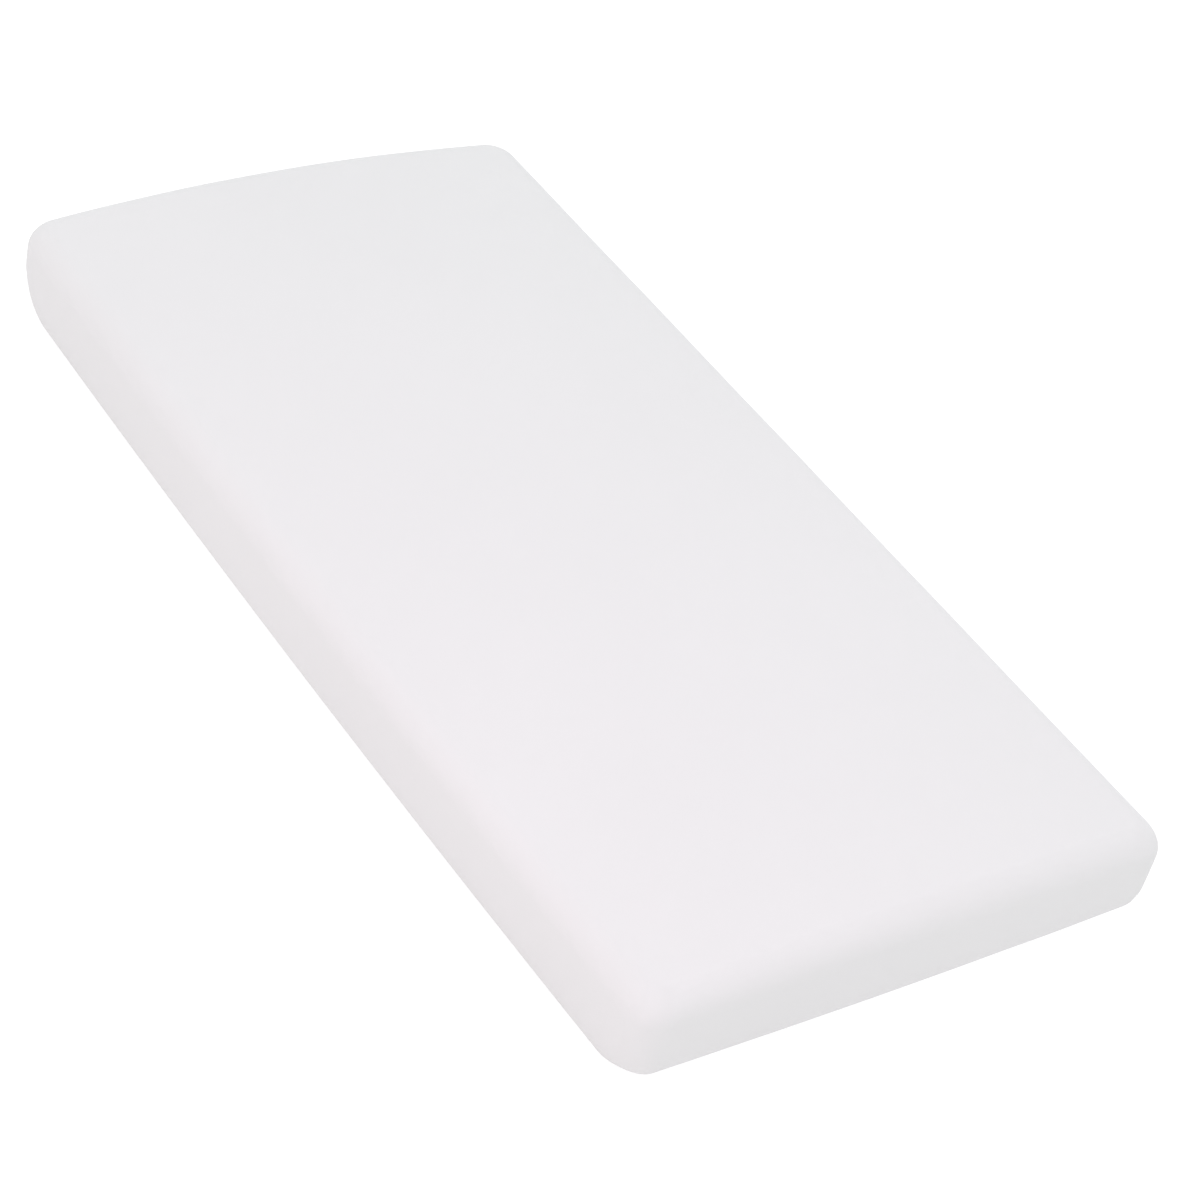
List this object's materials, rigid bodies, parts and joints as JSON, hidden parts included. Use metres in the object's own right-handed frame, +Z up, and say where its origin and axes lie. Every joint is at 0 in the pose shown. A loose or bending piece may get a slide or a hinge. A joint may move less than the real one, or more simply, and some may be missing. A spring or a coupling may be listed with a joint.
{
  "type": "memory foam mattress",
  "caption": "Rectangular foam mattress with a smooth stretch-knit cover, zipped along one long side, over bonded foam layers in a knitted sleeve.",
  "frame": {"origin": "middle of the underside, on the surface that the mattress lies on", "axes": "+X across the width towards the long side with the zip, +Y along the length towards the zip's closed end, +Z up"},
  "size_m": [1, 2, 0.2],
  "materials": {
    "cover_knit": "matte",
    "base_cloth": "matte",
    "seam_thread": "satin",
    "sleeve_jersey": "matte",
    "support_foam": "matte",
    "airflow_foam": "matte",
    "memory_foam": "matte",
    "zip_tape": "matte",
    "zip_coil": "satin",
    "zip_metal": "satin",
    "label_satin": "satin"
  },
  "bodies": {
    "mattress": {"cover_shell": "cover_knit", "cover_base": "base_cloth", "base_seam_overlock": "seam_thread", "inner_sleeve": "sleeve_jersey", "support_foam_core": "support_foam", "airflow_foam_layer": "airflow_foam", "memory_foam_layer": "memory_foam", "zip_tape_upper": "zip_tape", "zip_tape_lower": "zip_tape", "zip_coil_upper": "zip_coil", "zip_coil_lower": "zip_coil", "zip_stop_closed": "zip_metal", "zip_stop_open": "zip_metal", "zip_end_patch_closed": "cover_knit", "zip_end_patch_open": "cover_knit", "care_label": "label_satin"},
    "slider": {"zip_slider": "zip_metal"},
    "pull": {"zip_pull_tab": "zip_metal"}
  },
  "joints": [
    {"name": "zip_slide", "type": "slide", "parent": "mattress", "child": "slider", "axis": [0, 1, 0], "range_m": [-1.752, 0]},
    {"name": "pull_tab_swing", "type": "hinge", "parent": "slider", "child": "pull", "pos_m": [0.49449, 0.876, 0.04072], "axis": [0.2002, 0, 0.9797], "range_deg": [0, 180]}
  ]
}
